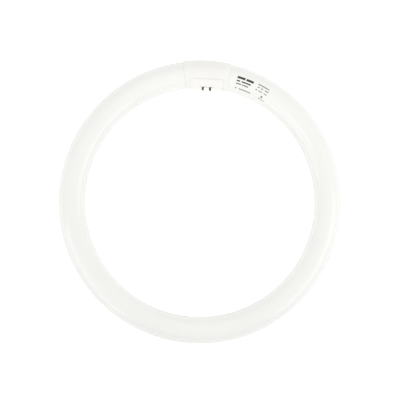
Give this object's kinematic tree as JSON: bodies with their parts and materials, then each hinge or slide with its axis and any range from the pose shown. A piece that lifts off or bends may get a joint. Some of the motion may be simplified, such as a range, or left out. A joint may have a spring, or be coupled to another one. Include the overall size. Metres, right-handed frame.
{
  "type": "circular fluorescent tube",
  "caption": "Round ring lamp: a sealed white glass tube whose ends meet in a plastic cap, with contact pins pointing to the centre of the ring.",
  "frame": {"origin": "centre of the ring, on the plane through the tube's axis", "axes": "+Z out of the front face, +Y from the ring's centre to the middle of the cap, contact pins pointing to -Y"},
  "size_m": [0.3048, 0.3061, 0.0311],
  "materials": {
    "coated_glass": "smooth glass over a white inner coating",
    "cap_plastic": "satin moulded white",
    "block_plastic": "satin moulded white",
    "pin_brass": "slightly dulled",
    "tinned_wire": "drawn, tinned",
    "sleeving": "woven insulating sleeve"
  },
  "bodies": {
    "root": {"glass_tube": "coated_glass", "cap_front_shell": "cap_plastic", "cap_rear_shell": "cap_plastic", "contact_block": "block_plastic", "contact_pin_left_front": "pin_brass", "contact_pin_left_rear": "pin_brass", "contact_pin_right_front": "pin_brass", "contact_pin_right_rear": "pin_brass", "lead_wire_left_front": "tinned_wire", "lead_wire_left_rear": "tinned_wire", "lead_wire_right_front": "tinned_wire", "lead_wire_right_rear": "tinned_wire", "sleeve_left_front": "sleeving", "sleeve_left_rear": "sleeving", "sleeve_right_front": "sleeving", "sleeve_right_rear": "sleeving"}
  },
  "joints": []
}
